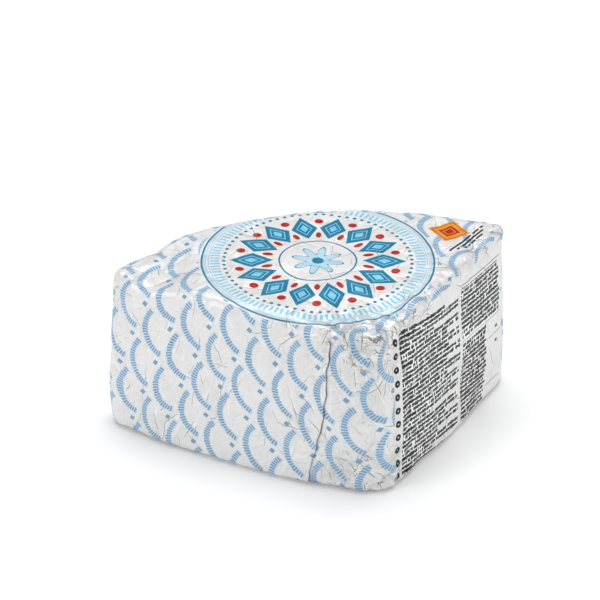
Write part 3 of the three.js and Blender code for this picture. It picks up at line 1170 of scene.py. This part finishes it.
def first_column(tree, along, level, line, run, stroke, foot):
    """Paragraphs that start in bold and end short, each with a dot. Gives ink, bold part and outline."""
    paragraph = LINE_PITCH * LINES_IN_PARAGRAPH
    block = level.floor_of(paragraph)
    place_in_block = line - block * LINES_IN_PARAGRAPH
    first_line = place_in_block.math("GREATER_THAN", 1.5)
    last_line = place_in_block.math("LESS_THAN", 0.5)
    top_and_foot = (level - TEXT_LEVELS[1]).either(TEXT_LEVELS[0] - level).either(foot)
    start, full = FIRST_COLUMN
    last_end = LEAST_LAST_LINE + (full - LEAST_LAST_LINE) * chance(tree, block, 3.0, 1.0)
    end = full - last_line * (full - last_end)
    column = (start - along).either(along - end).either(top_and_foot)
    lead = (along - (LEAD_END + 9.0 * chance(tree, block, 4.0, 1.0))).inked() * first_line
    body = (stroke - PLAIN_HALF).either(column).inked()
    body = body * words(tree, run, line, 1.0, STROKE_CELL, FIRST_GAPS).either(lead)
    bold = (stroke - BOLD_HALF).either(column).inked() * lead
    dot = distance((along - DOT_COLUMN) * 1.15, (level - DOT_START).wrapped(paragraph))
    dots = (dot - DOT_RADIUS).either(top_and_foot).inked() * (1.0 - (dot - DOT_HOLE).inked() * 0.75)
    return body.either(bold).either(dots), lead, column


def second_column(tree, along, level, line, run, stroke, foot):
    """Plain lines in two blocks, the upper one wider. Gives ink and outline."""
    left, right = SECOND_COLUMN
    upper = level.math("GREATER_THAN", DIVIDING_RULE + 0.3)
    right_end = right + upper * SECOND_COLUMN_WIDER - 3.0 * chance(tree, line, 8.0, 2.0)
    column = (left - along).either(along - right_end)
    column = column.either(level - SECOND_LEVELS[1]).either(SECOND_LEVELS[0] - level).either(foot)
    ink = (stroke - SECOND_HALF).either(column).inked()
    ink = ink * words(tree, run, line, 2.0, STROKE_CELL, SECOND_GAPS)
    return ink * (1.0 - (abs(level - DIVIDING_RULE) - 1.0).inked()), column


def rules_and_spots(along, level):
    """The rules round the second column, and a few spots beside it."""
    left, right = SECOND_COLUMN
    width = (left - 0.1 - along).either(along - PRINT_END)
    long_rules = (abs(level - TOP_RULE) - BOLD_RULE).less(abs(level - DIVIDING_RULE) - THIN_RULE)
    long_rules = long_rules.either(width).inked()
    lower, upper = SHORT_RULES
    short_rules = (abs(level - lower) - THIN_RULE).less(abs(level - upper) - THIN_RULE)
    short_rules = short_rules.either((right + 0.5 - along).either(along - (PRINT_END + 0.5))).inked()
    spots = distance((along - 114.0) * 0.6, (level - 49.0).wrapped(8.4)) - 0.9
    spots = spots.either(abs(level - 45.0) - 9.0).inked()
    return long_rules.either(short_rules).either(spots)


def small_print_group():
    """Two columns of greeked paragraphs with a dot before each, and thin rules round the second."""
    tree, entry, leave = new_group("small print", {"Place": None}, ["Black", "White"])
    far, height = separate(tree, entry.outputs["Place"])
    along = small_print_along(far, height)
    level = height + far * SMALL_PRINT_SLOPE
    line = level.floor_of(LINE_PITCH)
    run = along + 7.0 * chance(tree, line, 7.0, 7.0)
    letter = chance(tree, run.floor_of(0.8), line, 12.0) * LETTER_LOSS
    stroke = abs((level - 0.5 * LINE_PITCH).wrapped(LINE_PITCH)) + letter
    place = (along, level, line, run, stroke, LOWEST_PRINT - height)
    first, lead, first_outline = first_column(tree, *place)
    second, second_outline = second_column(tree, *place)
    ink = first.either(second).either(rules_and_spots(along, level))
    faint = chance(tree, run.floor_of(0.9), level.floor_of(0.5 * LINE_PITCH), 9.0)
    beside_dots = (along - 16.5).inked()
    fade = (1.0 - faint * faint * faint * 0.2).either(lead).either(beside_dots)
    white = first_outline.less(second_outline).inked(1.2)
    return finish_group(tree, leave, black=ink * fade, white=white)


# The foil

# Straight creases: cell size in millimetres, stretch along x, y and z, shift, share of the cells that have
# one, half width of its line in millimetres, height of its fold, and whether only crumpled foil has them
STRAIGHT_CREASES = (
    (30.0, (1.0, 1.0, 0.6), 3.0, 0.85, 0.46, 0.75, False),
    (17.0, (1.0, 1.0, 0.8), 11.0, 0.90, 0.42, 0.45, False),
    (12.0, (1.0, 1.0, 0.7), 57.0, 0.80, 0.34, 0.24, False),
    (8.0, (1.0, 1.0, 0.8), 31.0, 0.70, 0.30, 0.20, False),
    (6.5, (1.0, 1.0, 1.0), 19.0, 0.80, 0.34, 0.13, True),
    (3.2, (1.0, 1.0, 1.0), 23.0, 0.85, 0.32, 0.07, True),
)
# Jagged creases, where the foil is crumpled: cell size, stretch, shift, fineness, and how little they cover
JAGGED_CREASES = (4.6, (0.8, 0.9, 1.5), 19.0, 18.0, 0.56)
# A straight crease's small jogs, how unevenly the cells lie, how fast it runs out from its middle, how
# steep its fold is, and the share of creases that are valleys, which alone have a dark line of painted
# shade
JOG_FINENESS = 3.5
JOG_SIZE = 0.07
CELL_UNEVENNESS = 0.85
CREASE_RUN_OUT = 1.7
FOLD_STEEPNESS = 3.0
VALLEY_SHARE = 0.6
# Size and height of the small facets, as shares of the large ones'
SMALL_FACET = 0.45
SMALL_FACET_HEIGHT = 0.35
# Fineness of the clusters that creases lie in, by the metre
CLUSTERS = 26.0


def facets(tree, place, size):
    """Flat facets that tilt at random, of about a given size, and a random tone for each, which is painted
    as shade.
    """
    scaled = vector_math(tree, "SCALE", place, 1.0 / (size * MM))
    cells = tree.nodes.new("ShaderNodeTexVoronoi")
    cells.inputs["Scale"].default_value = 1.0
    tree.links.new(scaled, cells.inputs["Vector"])
    off = vector_math(tree, "SUBTRACT", scaled, cells.outputs["Position"])
    lean = vector_math(tree, "SUBTRACT", cells.outputs["Color"], (0.5, 0.5, 0.5))
    tone, _ = separate(tree, cells.outputs["Color"])
    return Field(tree, vector_math(tree, "DOT_PRODUCT", off, lean)), tone


def crease_place(tree, place, size, stretch, shift):
    """A place in cells of a given size, stretched and shifted."""
    scaled = vector_math(tree, "MULTIPLY", place, tuple(x / (size * MM) for x in stretch))
    return vector_math(tree, "ADD", scaled, (shift, 2 * shift, -shift))


def jagged_lines(tree, place, size, stretch, shift, fineness, cover):
    """Thin creases with small jogs, shown over a share of the sheet: the dark line of painted shade in
    each, and the light line of painted highlight beside it.
    """
    spot = crease_place(tree, place, size, stretch, shift)
    rough = noise_field(tree, spot, 1.0, 2.5)
    off = Field(tree, rough.outputs["Fac"]) - 0.5
    here = Field(tree, noise_field(tree, spot, 0.75, 1.0).outputs["Fac"])
    shown = (here - cover).ramp(8.0)
    dark = (1.0 - abs(off) * fineness).either(0.0) * shown
    light = (1.0 - abs(off - 1.3 / fineness) * fineness).either(0.0) * shown
    return dark, light


def straight_creases(tree, place, facing, size, stretch, shift, share, half_width):
    """A straight crease in some cells of the sheet: its fold, its dark line of painted shade and its light
    line of painted highlight.
    """
    spot = crease_place(tree, place, size, stretch, shift)
    jog = noise_field(tree, spot, JOG_FINENESS, 0.0).outputs["Color"]
    jog = vector_math(tree, "SUBTRACT", jog, (0.5, 0.5, 0.5))
    spot = vector_math(tree, "ADD", spot, vector_math(tree, "SCALE", jog, JOG_SIZE))
    cells = tree.nodes.new("ShaderNodeTexVoronoi")
    cells.inputs["Scale"].default_value = 1.0
    cells.inputs["Randomness"].default_value = CELL_UNEVENNESS
    tree.links.new(spot, cells.inputs["Vector"])
    first, second = separate(tree, cells.outputs["Color"])
    off = vector_math(tree, "SUBTRACT", spot, cells.outputs["Position"])
    lean = vector_math(tree, "SUBTRACT", cells.outputs["Color"], (0.5, 0.5, 0.5))
    lean = vector_math(tree, "MULTIPLY", lean, (1.0, 1.0, 0.6))
    outward = Field(tree, vector_math(tree, "DOT_PRODUCT", lean, facing))
    lean = vector_math(tree, "SUBTRACT", lean, vector_math(tree, "SCALE", facing, outward))
    firm = (Field(tree, vector_math(tree, "LENGTH", lean)) - 0.1).ramp(8.0)
    lean = vector_math(tree, "NORMALIZE", lean)
    across = Field(tree, vector_math(tree, "DOT_PRODUCT", off, lean))
    away = Field(tree, vector_math(tree, "LENGTH", off))
    has_one = (first * 7.0 + second * 5.0).math("FRACT").math("LESS_THAN", share)
    ridge = (first * 3.0 + second * 11.0).math("FRACT").math("GREATER_THAN", VALLEY_SHARE)
    reach = (1.0 - away * CREASE_RUN_OUT).either(0.0) * has_one * firm
    fold = (reach - abs(across) * FOLD_STEEPNESS).either(0.0) * (ridge * 2.0 - 1.0)
    thin = size / half_width
    line = (1.0 - abs(across) * thin).either(0.0)
    rim = (1.0 - abs(across - 1.6 / thin) * thin).either(0.0)
    shown = (reach * 2.5).less(1.0)
    return fold, line * shown * (1.0 - ridge), line.either(rim) * shown


def crinkle_group():
    """Foil's creases: facets in two sizes, straight creases in clusters, and a fine crumple. Line is
    painted shade in crease valleys, Glint is painted highlight on ridges, and Tone is painted shade on
    facets.
    """
    inputs = {"Place": None, "Facing": None, "Strength": 1.0, "Facet": 9.0}
    tree, entry, leave = new_group("foil crinkle", inputs, ["Height", "Line", "Glint", "Tone"])
    place, facing = entry.outputs["Place"], entry.outputs["Facing"]
    strength, facet = fields(tree, entry, "Strength", "Facet")
    crushed = (strength - 0.75).ramp(1.2)
    crowd = (Field(tree, noise_field(tree, place, CLUSTERS, 2.0).outputs["Fac"]) - 0.34).ramp(6.0)
    large, large_tone = facets(tree, place, facet)
    small, small_tone = facets(tree, place, facet * SMALL_FACET)
    height = (large + small * SMALL_FACET_HEIGHT) * 0.8
    # Painted shade by facet, only where the foil is crumpled
    tone = (large_tone + small_tone) * 0.5 * crushed
    dark = light = strength * 0.0
    for size, stretch, shift, share, half_width, gain, fine in STRAIGHT_CREASES:
        fold, valley, ridge = straight_creases(tree, place, facing, size, stretch, shift, share, half_width)
        mask = crushed if fine else crowd
        height = height + fold * gain * (crushed if fine else crowd * 0.7 + 0.3)
        dark = dark.either(valley * mask)
        light = light.either(ridge * mask)
    valley, ridge = jagged_lines(tree, place, *JAGGED_CREASES)
    height = height + (ridge * 0.5 - valley) * 0.05 * crushed
    dark = dark.either(valley * crushed)
    light = light.either(ridge * crushed)
    share = (strength * 0.4 + 0.7).less(1.15)
    return finish_group(
        tree, leave, height=height * strength, line=dark * share, glint=light * share, tone=tone)


def srgb(*channels):
    """A colour given as it looks on a screen, from 0 to 255, as the shader wants it."""
    parts = [c / 255.0 for c in channels]
    return tuple(c / 12.92 if c <= 0.04045 else ((c + 0.055) / 1.055) ** 2.4 for c in parts) + (1.0,)


LACQUER = srgb(227, 227, 226)
LACQUER_DULL = srgb(208, 207, 206)
# Painted shade on facets of crumpled foil, standing in for facets tilted away from the light
FACET_SHADE_GREY = srgb(168, 168, 170)
# Painted shade in the valleys of creases
CREASE_SHADE_GREY = srgb(110, 103, 98)
# Mostly painted shadow in the gap under a lap, partly the bare inside of the turned-back layer
LAP_SHADOW_AND_INSIDE_GREY = srgb(74, 76, 80)
# Painted contact shade along the edge that the pack stands on
CONTACT_SHADE_GREY = srgb(112, 110, 110)
# Painted highlight on crease ridges, and the printed white ground round the small print
PAINTED_GLINT_AND_PRINT_WHITE = srgb(246, 246, 246)
SKY_INK = srgb(122, 158, 188)
SKY_FRINGE = srgb(198, 217, 232)
SKY_TINT = srgb(126, 202, 230)
TEAL_INK = srgb(0, 120, 157)
RED_INK = srgb(176, 26, 16)
ORANGE_INK = srgb(228, 146, 0)
BLACK_INK = srgb(24, 24, 28)


def place_group(tree, group, **inputs):
    """A node group placed in a tree, with each input fed by its name."""
    node = tree.nodes.new("ShaderNodeGroup")
    node.node_tree = group
    for name, value in inputs.items():
        feed(tree, node.inputs[name.capitalize()], value)
    return node


def layered(tree, ground, ink, mask):
    """Ink laid over a ground colour where a mask says."""
    mix = tree.nodes.new("ShaderNodeMix")
    mix.data_type = "RGBA"
    factor, _, _, _, _, _, under, over = mix.inputs[:8]
    for slot, value in ((factor, mask), (under, ground), (over, ink)):
        feed(tree, slot, value)
    return mix.outputs[2]


# The foil's shine, the depth of its bump in metres, and the size of its facets in millimetres
FOIL_SPECULAR = 0.28
BUMP_DEPTH = 0.0016
FACET_SIZE = 7.0
# Fineness of the dull patches and of the fine grain, by the metre
PATCHES = 26.0
GRAIN = 420.0
# Where the small print's bare ground begins and ends: distance from the sharp tip, and height
TEXT_SIDE = 11.6
TEXT_TOP = 87.5
# The painted contact shade along the edge that the pack stands on: its height and how softly it ends, in
# millimetres
CONTACT_SHADE_HEIGHT = 2.6
CONTACT_SHADE_BLUR = 1.8


def inks(tree, sheet, wall):
    """The coloured inks with their masks, in the order that they lie, then black and the white ground."""
    scallop, fringe = fields(tree, place_group(tree, scallop_group(), place=sheet), "Ink", "Fringe")
    roundel = place_group(tree, roundel_group(), place=sheet)
    inside_it, teal, sky, red = fields(tree, roundel, "Inside", "Teal", "Sky", "Red")
    mark = place_group(tree, corner_mark_group(), place=sheet)
    orange, mark_red, mark_black = fields(tree, mark, "Orange", "Red", "Black")
    small_print = place_group(tree, small_print_group(), place=wall)
    small_black, white = fields(tree, small_print, "Black", "White")
    far, height = separate(tree, wall)
    text_side = small_print_along(far, height).math("GREATER_THAN", TEXT_SIDE)
    patterned = 1.0 - text_side * height.math("LESS_THAN", TEXT_TOP)
    scaled = (1.0 - inside_it) * (1.0 - orange) * patterned
    coloured = (
        (SKY_FRINGE, fringe * scaled * 0.9),
        (SKY_INK, scallop * scaled),
        (SKY_TINT, sky * inside_it * patterned),
        (TEAL_INK, teal * patterned),
        (RED_INK, red * patterned),
        (ORANGE_INK, orange * patterned),
        (RED_INK, mark_red * patterned),
    )
    return coloured, (mark_black * patterned).either(small_black), white


def lacquer_colour(tree, patch, crinkle, white, crushed):
    """White lacquer with dull patches, facets greyed by painted shade, painted glints on its ridges, and
    creases greyed by painted shade.
    """
    line, glint, tone = crinkle
    colour = layered(tree, LACQUER, LACQUER_DULL, (patch - 0.42).ramp(0.9))
    # Painted shade on facets
    colour = layered(tree, colour, FACET_SHADE_GREY, (tone - 0.25).either(0.0) * 0.7)
    # Painted glints on ridges, and the print's white ground
    colour = layered(tree, colour, PAINTED_GLINT_AND_PRINT_WHITE, (glint * 0.6).less(0.75).either(white * 0.6))
    # Painted shade in crease valleys
    return layered(tree, colour, CREASE_SHADE_GREY, (line * (0.75 + 0.35 * crushed)).less(0.92))


def painted_shade_colour(tree, colour, place, facing, patch, tucked):
    """Painted shade: the sheet darkens where it is tucked under a lap, mostly as painted shadow and partly
    as the bare inside of the turned-back layer, and along the edge that it stands on, as painted contact
    shade.
    """
    uneven = (patch * 2.6 - 0.75).either(0.15).less(0.8)
    # Painted shadow under a lap, partly the bare inside of the turned-back layer
    colour = layered(tree, colour, LAP_SHADOW_AND_INSIDE_GREY, tucked * tucked * tucked * uneven)
    _, _, level = separate(tree, place, 3)
    _, _, upward = separate(tree, facing, 3)
    low = ((CONTACT_SHADE_HEIGHT * MM - level) / (CONTACT_SHADE_BLUR * MM)).ramp()
    off_the_base = ((upward + 0.98) / 0.12).ramp()
    # Painted contact shade along the base edge
    return layered(tree, colour, CONTACT_SHADE_GREY, low * off_the_base * (0.45 + 0.5 * patch))


def foil_material():
    """Printed, white-lacquered foil: satin, creased, and worn where it is folded, with painted shade in its
    creases, on its facets, under its laps and along its base edge, and painted glints on its ridges.
    """
    material = bpy.data.materials.new("printed_foil")
    material.use_nodes = True
    tree = material.node_tree
    shader = tree.nodes["Principled BSDF"]
    shader.inputs["Specular IOR Level"].default_value = FOIL_SPECULAR

    def uv(name):
        node = tree.nodes.new("ShaderNodeUVMap")
        node.uv_map = name
        return node.outputs["UV"]

    def attribute(name):
        node = tree.nodes.new("ShaderNodeAttribute")
        node.attribute_name = name
        return Field(tree, node.outputs["Fac"])

    place = tree.nodes.new("ShaderNodeTexCoord").outputs["Object"]
    facing = tree.nodes.new("ShaderNodeNewGeometry").outputs["Normal"]
    crumple, crease, tucked = attribute("crumple"), attribute("crease"), attribute("tucked")
    crushed = (crumple - 0.9).ramp(0.9)
    patch = Field(tree, noise_field(tree, place, PATCHES, 3.0).outputs["Fac"])
    grain = Field(tree, noise_field(tree, place, GRAIN, 2.0).outputs["Fac"])
    crinkle = place_group(
        tree, crinkle_group(), place=place, facing=facing, strength=crumple + 0.15, facet=FACET_SIZE)
    height, line, glint, tone = fields(tree, crinkle, "Height", "Line", "Glint", "Tone")
    coloured, black, white = inks(tree, uv("sheet"), uv("wall"))

    colour = lacquer_colour(tree, patch, (line, glint, tone), white, crushed)
    worn = (line * 0.55 + abs(crease) * 0.9).less(0.8)
    hold = ((1.0 - worn * 0.5) * (0.93 + 0.14 * grain)).less(1.0)
    for ink, mask in coloured:
        colour = layered(tree, colour, ink, mask * hold)
    colour = layered(tree, colour, BLACK_INK, black)
    feed(tree, shader.inputs["Base Color"], painted_shade_colour(tree, colour, place, facing, patch, tucked))
    feed(tree, shader.inputs["Roughness"], 0.42 + 0.10 * patch + 0.06 * grain - crushed * 0.05)
    feed(tree, shader.inputs["Metallic"], (0.32 - black * 0.2 + line * 0.25).less(0.6))

    bump = tree.nodes.new("ShaderNodeBump")
    bump.inputs["Strength"].default_value = 1.0
    bump.inputs["Distance"].default_value = BUMP_DEPTH
    feed(tree, bump.inputs["Height"], height + 0.02 * grain)
    feed(tree, shader.inputs["Normal"], bump.outputs["Normal"])
    return material


# Setting, in metres and watts

FLOOR_SIZE = 6.0
FLOOR_WHITE = (0.95, 0.95, 0.95, 1.0)
FLOOR_GLOW = 0.07
SKY_COLOUR = (0.985, 0.99, 1.0, 1.0)
SKY_STRENGTH = 0.47
# Each light's place, what it aims at, its size and its power
LIGHTS = {
    "overhead": ((0.1, 0.3, 1.4), (0.0, 0.0, 0.0), 1.0, 12.0),
    "left window": ((-1.4, -0.35, 0.55), (0.0, 0.0, 0.05), 0.7, 6.6),
    "right window": ((1.2, -0.9, 0.5), (0.0, 0.0, 0.05), 0.7, 6.2),
}
# The photo's view, fitted to the pack's corners: its place, how far it looks up from straight down, and
# its turn about the upright
CAMERA_PLACE = (-0.3229, -1.0762, 0.7364)
CAMERA_RISE = math.radians(59.5)
CAMERA_TURN = math.radians(-16.1)
CAMERA_LENS = 156.0
CAMERA_SENSOR = 36.0


def pale_floor():
    """A floor so pale that it runs into the white behind it."""
    bpy.ops.mesh.primitive_plane_add(size=FLOOR_SIZE, location=(0.0, 0.0, 0.0))
    floor = bpy.context.object
    floor.name = "studio_floor"
    material = bpy.data.materials.new("studio_floor")
    material.use_nodes = True
    shader = material.node_tree.nodes["Principled BSDF"]
    shader.inputs["Base Color"].default_value = FLOOR_WHITE
    shader.inputs["Roughness"].default_value = 0.9
    shader.inputs["Specular IOR Level"].default_value = 0.1
    shader.inputs["Emission Color"].default_value = (1.0, 1.0, 1.0, 1.0)
    shader.inputs["Emission Strength"].default_value = FLOOR_GLOW
    floor.data.materials.append(material)


def soft_light(name, place, aim, size, power):
    """A square light, turned towards what it aims at."""
    data = bpy.data.lights.new(name, "AREA")
    data.shape = "SQUARE"
    data.size = size
    data.energy = power
    light = bpy.data.objects.new(name, data)
    light.location = place
    light.rotation_euler = (Vector(aim) - Vector(place)).to_track_quat("-Z", "Y").to_euler()
    bpy.context.scene.collection.objects.link(light)


def studio():
    world = bpy.data.worlds.new("studio")
    world.use_nodes = True
    sky = world.node_tree.nodes["Background"]
    sky.inputs["Color"].default_value = SKY_COLOUR
    sky.inputs["Strength"].default_value = SKY_STRENGTH
    bpy.context.scene.world = world
    bpy.context.scene.view_settings.view_transform = "Standard"
    for name, light in LIGHTS.items():
        soft_light(name, *light)


def camera():
    data = bpy.data.cameras.new("photo view")
    data.lens = CAMERA_LENS
    data.sensor_width = CAMERA_SENSOR
    data.clip_end = 20.0
    view = bpy.data.objects.new("photo view", data)
    view.location = CAMERA_PLACE
    view.rotation_euler = (CAMERA_RISE, 0.0, CAMERA_TURN)
    bpy.context.scene.collection.objects.link(view)
    bpy.context.scene.camera = view


camera()
pale_floor()
studio()

wrapper = bpy.data.objects.new("foil_wrapper", skin_mesh())
bpy.context.scene.collection.objects.link(wrapper)
wrapper.data.materials.append(foil_material())
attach(wrapper, "root")
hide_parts("wrapped_wedge")

bpy.context.view_layer.update()
